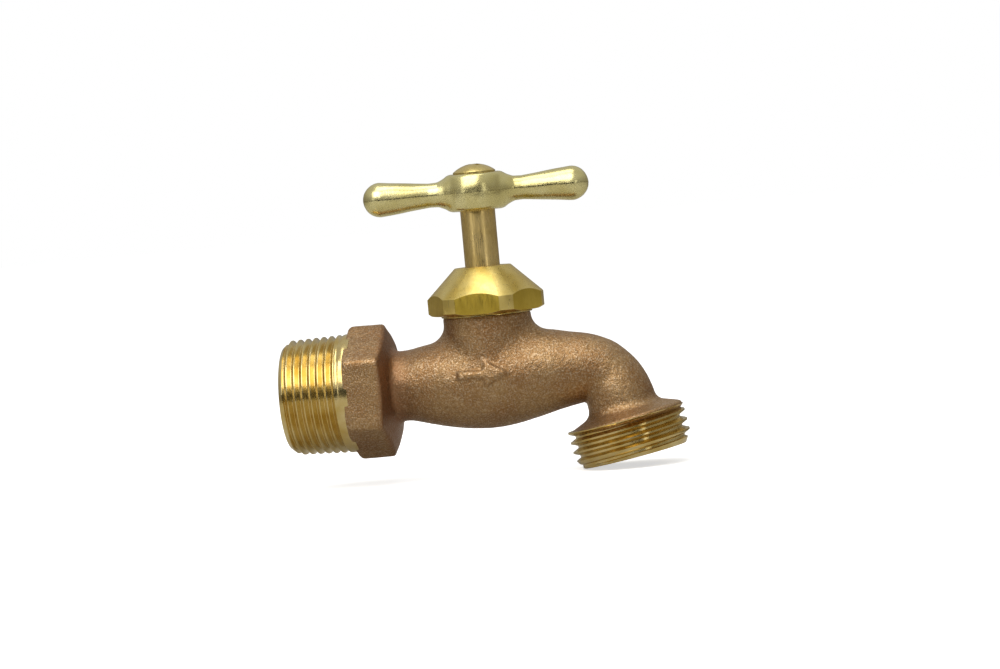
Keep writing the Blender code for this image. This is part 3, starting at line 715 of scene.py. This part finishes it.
def stem():
    """Washer cup, coarse thread, plain shank and square tang, drilled at both ends."""
    cup_bore_r, hole_r, socket_r = WASHER_R + GAP, 1.9, 2.3

    def outline(angle):
        tang = min(bar_reach(angle, 4, HANDLE_TURN, TANG_FLATS), STEM_R - 0.05)
        return softened([
            (0, CUP_FLOOR_Z, 0), (cup_bore_r, CUP_FLOOR_Z, 0.2), (cup_bore_r, CUP_RIM_Z, 0.1),
            (CUP_R, CUP_RIM_Z, 0.25), (CUP_R - 0.05, STEM_THREAD_TOP, 0.2),
            (STEM_R, STEM_THREAD_TOP + 0.6, 0.3), (STEM_R, TANG_START, 0.1), (tang, TANG_START, 0.1),
            (tang, TANG_END - 0.3, 0.1), (tang - 0.4, TANG_END, 0.1), (socket_r, TANG_END, 0.15),
            (socket_r, 39.4, 0.1), (0, 38.2, 0),
        ], steps=3)

    core = spun("stem_detail", outline, even_angles(96), place_stem())
    thread_start, thread_length, fade_length = 7.0, 5.2, 0.9

    def thread_radius(z, height):
        fade = eased(z / fade_length) * eased((thread_length - z) / fade_length)
        return 5.85 + (0.2 + 0.95 * height) * fade

    place = place_helix(thread_start, STEM_LEAD, STEM_RIDGE_Z)
    thread = threaded("stem_thread", thread_radius, STEM_SHAPE, STEM_LEAD, thread_length, 72, place)
    boolean(core, "UNION", [thread])
    hole = turned("washer_screw_hole", [
        (0, 12.9, 0), (hole_r, 12.0, 0), (hole_r, CUP_FLOOR_Z - 1, 0), (0, CUP_FLOOR_Z - 1, 0),
    ], 48, place_stem())
    return boolean(core, "DIFFERENCE", [hole])


def seat_washer():
    """Rubber disc with rounded edges and a moulded step round its hole."""
    bottom, top, hole_r, step = 1.9, CUP_FLOOR_Z - GAP, 1.9, 0.12
    return turned("seat_washer_detail", [
        (hole_r, top, 0.1), (WASHER_R, top, 0.25), (WASHER_R, bottom + 0.1, 0.5), (4.75, bottom, 0.3),
        (3.6, bottom, 0.2), (3.4, bottom + step, 0.2), (hole_r, bottom + step, 0.1),
    ], 72, place_stem(), ring=True)


def screw_shank(name, crest_r, depth, tip_r, bottom, length, columns, points_up):
    """A machine screw's thread, chamfered at its tip."""
    def radius(z, height):
        from_tip = length - z if points_up else z
        return min(crest_r - depth * (1 - height), tip_r + from_tip * 0.8)

    place = place_stem(height=bottom)
    return threaded(name, radius, SCREW_SHAPE, SCREW_PITCH, length, columns, place)


def washer_screw():
    """Round-headed slotted screw whose head faces down under the seat washer."""
    shank_r, head_r, head_top = 1.5, 2.9, 1.6
    head = turned("washer_screw_detail", [
        (0, 3.2, 0), (shank_r, 3.2, 0), (shank_r, head_top, 0.05), (head_r, head_top, 0.12),
        (head_r, 1.0, 0.5), (2.2, 0.15, 0.9), (0, -0.2, 0),
    ], 64, place_stem())
    shank = screw_shank(
        "washer_screw_shank", crest_r=1.6, depth=0.28, tip_r=1.2, bottom=2.5, length=8.9, columns=40,
        points_up=True)
    boolean(head, "UNION", [shank])
    return boolean(head, "DIFFERENCE", [slot_cutter("washer_screw_slot", 3.6, 0.36, -1.4, 0.7)])


def slot_cutter(name, half_length, half_width, bottom, top, turn=0.0, draft=0.0):
    """A screwdriver slot's cutter about the stem's axis, smaller at its bottom when it has draft."""
    verts = []
    for z, inset in ((bottom, draft), (top, 0.0)):
        for sx, sy in ((-1, -1), (1, -1), (1, 1), (-1, 1)):
            verts.append((sx * (half_length - inset), sy * (half_width - inset * 0.25), z))
    faces = [(0, 1, 2, 3), (4, 5, 6, 7), (0, 1, 5, 4), (1, 2, 6, 5), (2, 3, 7, 6), (3, 0, 4, 7)]
    return new_piece(name, verts, faces, place_stem(turn))


def handle_screw():
    """Domed screw with a cross recess; its shank reaches down into the stem."""
    shank_r, shank_end = 1.7, 46.0
    rim_top = SCREW_UNDER_Z + 0.55
    rise = SCREW_TOP_Z - rim_top
    dome_r = (SCREW_HEAD_R ** 2 + rise ** 2) / (2 * rise)
    dome = []
    for k in range(13):
        r = SCREW_HEAD_R * sin(pi / 2 * k / 12) * 0.985
        dome.append((r, SCREW_TOP_Z - dome_r + sqrt(dome_r ** 2 - r ** 2), 0))
    head = turned("handle_screw_detail", [
        *dome, (SCREW_HEAD_R, rim_top - 0.02, 0.12), (SCREW_HEAD_R, SCREW_UNDER_Z, 0.08),
        (shank_r, SCREW_UNDER_Z, 0), (shank_r, shank_end, 0), (0, shank_end, 0),
    ], 96, place_stem(HANDLE_TURN))
    shank = screw_shank(
        "handle_screw_shank", crest_r=2.0, depth=0.3, tip_r=1.5, bottom=39.9, length=7.2, columns=48,
        points_up=False)
    boolean(head, "UNION", [shank])
    bottom, top = SCREW_TOP_Z - 1.5, SCREW_TOP_Z + 0.5
    cross_turn = HANDLE_TURN + 0.5
    cross = [
        slot_cutter(f"cross_{k}", 2.6, 0.5, bottom, top, cross_turn + k * pi / 2, draft=0.7)
        for k in range(2)
    ]
    return boolean(head, "DIFFERENCE", cross)


# ---- tee handle

def tee_handle():
    """Barrel hub and arms that swell to round ends, cast in one, with a square hole."""
    (x, y, z), low = grid((-26.6, -8.2, -5.2), (26.6, 8.2, 5.2), HANDLE_STEP)
    half = (HUB_TOP_Z - HUB_BOTTOM_Z) / 2
    reach = np.sqrt(x ** 2 + y ** 2)
    barrel = HUB_WAIST_R - (HUB_WAIST_R - HUB_EDGE_R) * (z / half) ** 2
    steepness = 0.94                 # keeps the barrel's field close to a true distance
    hub = common_round((reach - barrel) * steepness, np.abs(z) - half, 0.55)

    along = np.abs(x)
    tip_centre = ARM_LENGTH - ARM_TIP_R
    girth = np.interp(
        along, [0, 6.3, 7.4, 8.6, 10.5, 13.5, 17, 19.5, tip_centre],
        [3.9, 3.8, 3.3, 2.8, 2.72, 3.02, 3.42, 3.68, ARM_TIP_R])
    past = np.maximum(along - tip_centre, 0)
    arm = np.sqrt(past ** 2 + y ** 2 + z ** 2) - girth

    seam_depth, seam_width, sway_depth = 0.035, 0.22, 0.03
    seam = seam_depth * np.exp(-(z / seam_width) ** 2)
    sway = sway_depth * np.sin(0.8 * x + 0.5) * np.sin(1.1 * z + 0.7 * y)
    handle = blurred(union_round(hub, arm, 1.0), 2) - seam + sway
    hole = np.maximum(np.abs(x), np.abs(y)) - (TANG_FLATS / 2 + GAP)
    handle = np.maximum(handle, -hole)
    place = place_stem(HANDLE_TURN, ARM_Z)
    return net_piece("tee_handle_detail", handle.astype(np.float32), low, HANDLE_STEP, place)


# ---- finishes

class Finish:
    """A Principled material with short calls for the nodes behind it."""

    def __init__(self, name, metallic=1.0):
        self.material = bpy.data.materials.new(name)
        self.material.use_nodes = True
        self.tree = self.material.node_tree
        self.shader = self.tree.nodes["Principled BSDF"]
        self.shader.inputs["Metallic"].default_value = metallic
        self.place = self.tree.nodes.new("ShaderNodeTexCoord").outputs["Object"]

    def feed(self, value, socket):
        """Links a node's output to a socket, or sets the socket to a number or a colour."""
        if isinstance(value, bpy.types.NodeSocket):
            self.tree.links.new(value, socket)
        elif isinstance(value, tuple):
            socket.default_value = (*value, 1.0)
        else:
            socket.default_value = value

    def stretched(self, scale):
        """The piece's own coordinates, scaled along its axes."""
        node = self.tree.nodes.new("ShaderNodeMapping")
        node.inputs["Scale"].default_value = scale
        self.feed(self.place, node.inputs["Vector"])
        return node.outputs["Vector"]

    def noise(self, size_mm, detail=3.0, rough=0.55, vector=None):
        """Noise with features about size_mm across."""
        node = self.tree.nodes.new("ShaderNodeTexNoise")
        node.inputs["Scale"].default_value = 1 / (size_mm * MM)
        node.inputs["Detail"].default_value = detail
        node.inputs["Roughness"].default_value = rough
        self.feed(vector or self.place, node.inputs["Vector"])
        return node.outputs["Fac"]

    def cells(self, size_mm):
        """Distance to the nearest of some points scattered about size_mm apart."""
        node = self.tree.nodes.new("ShaderNodeTexVoronoi")
        node.inputs["Scale"].default_value = 1 / (size_mm * MM)
        self.feed(self.place, node.inputs["Vector"])
        return node.outputs["Distance"]

    def ramp(self, source, *stops):
        """Maps a value through (position, colour or number) stops."""
        node = self.tree.nodes.new("ShaderNodeValToRGB")
        elements = node.color_ramp.elements
        while len(elements) < len(stops):
            elements.new(0.5)
        for element, (position, value) in zip(elements, stops):
            element.position = position
            colour = value if isinstance(value, tuple) else (value,) * 3
            element.color = (*colour, 1.0)
        self.feed(source, node.inputs["Fac"])
        return node.outputs["Color"]

    def mix(self, share, a, b):
        """Colour a where share is 0 and b where it is 1."""
        node = self.tree.nodes.new("ShaderNodeMix")
        node.data_type = "RGBA"
        for value, socket in zip((share, a, b), [s for s in node.inputs if s.enabled]):
            self.feed(value, socket)
        return next(s for s in node.outputs if s.enabled)

    def maths(self, operation, a, b):
        """Arithmetic on two values, each a node's output or a number."""
        node = self.tree.nodes.new("ShaderNodeMath")
        node.operation = operation
        self.feed(a, node.inputs[0])
        self.feed(b, node.inputs[1])
        return node.outputs["Value"]

    def bump(self, height, depth_mm, under=None):
        """Relief of that depth, on top of another one."""
        node = self.tree.nodes.new("ShaderNodeBump")
        node.inputs["Distance"].default_value = depth_mm * MM
        node.inputs["Strength"].default_value = 1.0
        self.feed(height, node.inputs["Height"])
        if under is not None:
            self.feed(under, node.inputs["Normal"])
        return node.outputs["Normal"]

    def done(self, colour, roughness, normal):
        """The finished material."""
        self.feed(colour, self.shader.inputs["Base Color"])
        self.feed(roughness, self.shader.inputs["Roughness"])
        self.feed(normal, self.shader.inputs["Normal"])
        return self.material


def cast_bronze():
    """Sand-cast bronze: brown skin with dense pale gold grain, and painted shade behind the hexagon,
    which is redder, darker and plainer.
    """
    # The redder brown here and the tiny sparkle share below paint shade in the corner behind the hexagon.
    dark_brown, pale_brown, behind_hex_shade_brown = (0.315, 0.165, 0.063), (0.415, 0.256, 0.112), (0.25, 0.095, 0.034)
    pit_brown, pale_gold = (0.21, 0.11, 0.04), (0.90, 0.76, 0.56)
    behind_hex_shade_sparkle, sparkle_share = (0.05,) * 3, 0.36
    f = Finish("cast_bronze", metallic=0.9)
    patches = f.ramp(f.noise(9, 3), (0.35, dark_brown), (0.65, pale_brown))
    axes = f.tree.nodes.new("ShaderNodeSeparateXYZ")
    f.feed(f.place, axes.inputs["Vector"])
    along = f.maths("DIVIDE", axes.outputs["X"], 100 * MM)
    # Painted shade: a redder, darker stretch with little grain starts inside the hexagon's back edge, in
    # the corner where it meets the belly, and fades out along the belly.
    behind_hex_shade = f.ramp(along, (0.225, 0.0), (0.238, 0.8), (0.255, 0.8), (0.31, 0.0))
    patches = f.mix(behind_hex_shade, patches, behind_hex_shade_brown)
    grain = f.noise(0.7, 3.0, 0.6)
    skin = f.mix(f.ramp(grain, (0.34, 0.45), (0.62, 1.0)), pit_brown, patches)
    fine = f.noise(0.36, 2.0, 0.6)
    sparkle = f.ramp(fine, (0.48, 0.0), (0.72, 1.0))
    # Little grain shows in the painted shade behind the hexagon.
    share = f.mix(behind_hex_shade, f.maths("MULTIPLY", sparkle, sparkle_share), behind_hex_shade_sparkle)
    colour = f.mix(share, skin, pale_gold)
    rough = f.ramp(sparkle, (0.0, 0.47), (1.0, 0.30))
    relief = f.bump(fine, 0.13)
    relief = f.bump(f.noise(1.1, 2.0), 0.16, relief)
    return f.done(colour, rough, relief)


def brass(name, colour, dark, rough, marks, relief_mm, pits=0.0):
    """Worked brass of a slightly uneven colour; marks is the scale that draws its tool marks out."""
    f = Finish(name)
    drawn = f.noise(0.35, 3, 0.6, f.stretched(marks))
    tone = f.ramp(f.noise(5, 2), (0.35, dark), (0.65, colour))
    shade = f.mix(f.ramp(drawn, (0.35, 0.0), (0.65, 0.35)), tone, dark)
    roughness = f.ramp(drawn, (0.3, rough * 0.8), (0.7, rough * 1.25))
    relief = f.bump(drawn, relief_mm)
    if pits:
        holes = f.ramp(f.cells(2.6), (0.0, 0.0), (pits, 1.0))
        relief = f.bump(holes, 0.05, relief)
        shade = f.mix(holes, dark, shade)
    return f.done(shade, roughness, relief)


def packing_cord():
    """Graphited cord: dark, dull and woven."""
    f = Finish("graphite_packing", metallic=0.2)
    weave = f.noise(0.5, 3, 0.6, f.stretched((1, 1, 2.5)))
    colour = f.ramp(weave, (0.35, (0.02, 0.02, 0.022)), (0.7, (0.10, 0.10, 0.105)))
    return f.done(colour, 0.6, f.bump(weave, 0.12))


def rubber():
    """Black moulded rubber."""
    f = Finish("black_rubber", metallic=0.0)
    grain = f.noise(0.4, 3)
    colour = f.ramp(grain, (0.3, (0.012, 0.012, 0.012)), (0.7, (0.03, 0.03, 0.03)))
    return f.done(colour, f.ramp(grain, (0.3, 0.55), (0.7, 0.8)), f.bump(grain, 0.03))


# ---- pieces on their bodies

def finish_piece(piece, body, node, slot, *materials, crease_degrees=38):
    """Gives a piece its finishes and its body, and hides the CAD node that it stands for."""
    set_finishes(piece, materials)
    piece.data.shade_smooth()
    piece.data.set_sharp_from_angle(angle=radians(crease_degrees))
    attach(piece, body)
    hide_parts(node)


EVEN, ALONG_STEM = (1, 1, 1), (1, 1, 0.12)
bronze = cast_bronze()
machined = brass("machined_thread", (0.77, 0.63, 0.32), (0.61, 0.44, 0.14), 0.19, EVEN, 0.012)
nut_brass = brass("nut_brass", (0.76, 0.605, 0.225), (0.65, 0.48, 0.125), 0.31, ALONG_STEM, 0.01)
# The brass of the nut's flats: a rougher drawn finish, with a darker, more saturated colour that is
# partly painted shade.
shaded_bar_brass = brass("shaded_bar_brass", (0.65, 0.475, 0.08), (0.53, 0.37, 0.05), 0.40, ALONG_STEM, 0.014)
ring_brass = brass("ring_brass", (0.74, 0.56, 0.22), (0.60, 0.44, 0.15), 0.32, ALONG_STEM, 0.01)
pale = brass("pale_brass", (0.79, 0.71, 0.36), (0.66, 0.57, 0.235), 0.25, EVEN, 0.018, pits=0.06)
shank_brass = brass("stem_brass", (0.80, 0.60, 0.25), (0.66, 0.47, 0.16), 0.30, (1, 1, 0.08), 0.012)
screw_brass = brass("screw_brass", (0.74, 0.60, 0.24), (0.62, 0.47, 0.15), 0.30, EVEN, 0.012)

finish_piece(casting(bronze, machined), "valve_body", "body_casting", "cast_bronze", bronze, machined)
finish_piece(
    packing_nut(), "valve_body", "packing_nut", "yellow_brass", nut_brass, shaded_bar_brass, crease_degrees=14)
gland_ring = flat_ring("gland_ring_detail", outer=6.6, bottom=22.7, top=23.9)
finish_piece(gland_ring, "valve_body", "gland_ring", "yellow_brass", ring_brass)
finish_piece(packing_ring(), "valve_body", "packing_ring", "graphite_packing", packing_cord())
packing_washer = flat_ring("packing_washer_detail", outer=7.0, bottom=18.51, top=19.31)
finish_piece(packing_washer, "valve_body", "packing_washer", "yellow_brass", ring_brass)
finish_piece(seat_washer(), "rising_washer", "seat_washer", "black_rubber", rubber())
finish_piece(stem(), "turning_stem", "stem", "stem_brass", shank_brass)
finish_piece(washer_screw(), "turning_stem", "washer_screw", "yellow_brass", screw_brass)
finish_piece(tee_handle(), "turning_stem", "tee_handle", "pale_brass", pale)
finish_piece(handle_screw(), "turning_stem", "handle_screw", "yellow_brass", screw_brass)


# ---- studio

AIM = Vector((49.38, 1.53, 10.41)) * MM
MIDDLE = Vector((AIM.x, 0.0, 0.01))  # what the lights and the flag face
YAW, ELEVATION, ROLL = radians(9.664), radians(2.478), radians(-5.229)
DISTANCE = 994.6 * MM
SENSOR_MM, LENS_MM = 36.0, 158.45
FLOOR_R, DOME_R = 3.2, 3.6       # metres, like every length from here on
FLOOR_DROP, CARD_DROP = 0.0002, 0.0008


def studio_camera():
    """A long lens nearly level with the valve, a little to its outlet side and tipped with it."""
    back = Vector((sin(YAW) * cos(ELEVATION), -cos(YAW) * cos(ELEVATION), sin(ELEVATION)))
    right = Vector((cos(YAW), sin(YAW), 0.0))
    up = back.cross(right)
    rolled_right = right * cos(ROLL) + up * sin(ROLL)
    rolled_up = up * cos(ROLL) - right * sin(ROLL)
    data = bpy.data.cameras.new("camera")
    data.sensor_width = SENSOR_MM
    data.lens = LENS_MM
    data.clip_start = 0.05
    data.clip_end = 30.0
    camera = bpy.data.objects.new("camera", data)
    axes = Matrix((rolled_right, rolled_up, back)).transposed()
    camera.matrix_world = Matrix.Translation(AIM + back * DISTANCE) @ axes.to_4x4()
    bpy.context.scene.collection.objects.link(camera)
    bpy.context.scene.camera = camera


def glowing(name, colour):
    """A surface of one even brightness, whatever lights it."""
    made = bpy.data.materials.new(name)
    made.use_nodes = True
    tree = made.node_tree
    tree.nodes.clear()
    emission = tree.nodes.new("ShaderNodeEmission")
    emission.inputs["Color"].default_value = (*colour, 1.0)
    emission.inputs["Strength"].default_value = 1.0
    output = tree.nodes.new("ShaderNodeOutputMaterial")
    tree.links.new(emission.outputs["Emission"], output.inputs["Surface"])
    return made


def matt(name, colour, glow=0.0):
    """A plain surface without gloss that may give off some white light of its own."""
    made = bpy.data.materials.new(name)
    made.use_nodes = True
    inputs = made.node_tree.nodes["Principled BSDF"].inputs
    inputs["Base Color"].default_value = (*colour, 1.0)
    inputs["Roughness"].default_value = 1.0
    inputs["Specular IOR Level"].default_value = 0.0
    inputs["Emission Color"].default_value = (1.0, 1.0, 1.0, 1.0)
    inputs["Emission Strength"].default_value = glow
    return made


def aimed(centre, direction):
    """Places an object at a centre, its +Z along a direction."""
    return Matrix.Translation(centre) @ direction.to_track_quat("Z", "Y").to_matrix().to_4x4()


def stage_piece(name, shape, material, place, seen, casts_shadow=False):
    """A piece of the studio.  The camera sees it or the metal reflects it, but not both."""
    mesh = bpy.data.meshes.new(name)
    shape.to_mesh(mesh)
    shape.free()
    mesh.materials.append(material)
    piece = bpy.data.objects.new(name, mesh)
    piece.matrix_world = place
    piece.visible_camera = seen
    piece.visible_diffuse = piece.visible_glossy = piece.visible_transmission = not seen
    piece.visible_shadow = casts_shadow
    bpy.context.scene.collection.objects.link(piece)


def card(name, width, depth, place, material):
    """A flat card that shows only in reflections."""
    shape = bmesh.new()
    bmesh.ops.create_grid(shape, x_segments=1, y_segments=1, size=0.5)
    stage_piece(name, shape, material, place @ Matrix.Diagonal((width, depth, 1.0, 1.0)), seen=False)


def studio_dome():
    """The white studio behind and over the valve."""
    shape = bmesh.new()
    bmesh.ops.create_uvsphere(shape, u_segments=48, v_segments=24, radius=DOME_R)
    stage_piece("studio_dome", shape, glowing("studio_white", (1.0, 1.0, 1.0)), Matrix(), seen=True)


def studio_floor():
    """A wide pale floor under the lowest point of the hose thread."""
    shape = bmesh.new()
    bmesh.ops.create_circle(shape, cap_ends=True, segments=96, radius=FLOOR_R)
    place = Matrix.Translation((AIM.x, 0.0, cad_box[0].z - FLOOR_DROP))
    material = matt("pale_floor", (0.85, 0.85, 0.85), glow=0.62)
    stage_piece("studio_floor", shape, material, place, seen=True, casts_shadow=True)


def bounce_card():
    """The pale grey table top that the metal reflects from below."""
    place = Matrix.Translation((AIM.x, -0.03, cad_box[0].z - CARD_DROP))
    card("bounce_card", 0.90, 0.80, place, matt("bounce_grey", (0.74, 0.72, 0.68)))


def front_flag():
    """A dark card in front of the valve, for the metal to reflect below the key light."""
    centre = Vector((AIM.x, -1.30, -0.05))
    material = glowing("front_flag", (0.025, 0.023, 0.019))
    card("front_flag", 3.2, 0.84, aimed(centre, MIDDLE - centre), material)


def soft_light(name, centre, size, power):
    """A rectangular light of that size in metres and power in watts, aimed at the valve."""
    data = bpy.data.lights.new(name, "AREA")
    data.shape = "RECTANGLE"
    data.size, data.size_y = size
    data.energy = power
    light = bpy.data.objects.new(name, data)
    light.matrix_world = aimed(centre, Vector(centre) - MIDDLE)
    bpy.context.scene.collection.objects.link(light)


def studio_world():
    """A dim grey room, lighter overhead, for the metal to show at its edges."""
    below, above = (0.205, 0.19, 0.165, 1.0), (0.56, 0.56, 0.55, 1.0)
    world = bpy.data.worlds.new("studio")
    world.use_nodes = True
    tree = world.node_tree
    place = tree.nodes.new("ShaderNodeTexCoord")
    split = tree.nodes.new("ShaderNodeSeparateXYZ")
    ramp = tree.nodes.new("ShaderNodeValToRGB")
    elements = ramp.color_ramp.elements
    elements[0].position, elements[0].color = 0.0, below
    elements[1].position, elements[1].color = 0.55, above
    tree.links.new(place.outputs["Generated"], split.inputs["Vector"])
    tree.links.new(split.outputs["Z"], ramp.inputs["Fac"])
    tree.links.new(ramp.outputs["Color"], tree.nodes["Background"].inputs["Color"])
    bpy.context.scene.world = world


studio_camera()
studio_world()
studio_dome()
studio_floor()
bounce_card()
soft_light("key_light", (-0.10, -0.55, 0.58), (0.80, 0.60), 4.1)
soft_light("left_strip", (-0.51, -0.68, 0.15), (0.12, 0.30), 0.15)
soft_light("right_strip", (0.58, -0.62, 0.15), (0.13, 0.30), 0.17)
soft_light("top_light", (0.05, -0.06, 0.85), (0.50, 0.45), 1.50)
front_flag()
bpy.context.scene.view_settings.view_transform = "Standard"
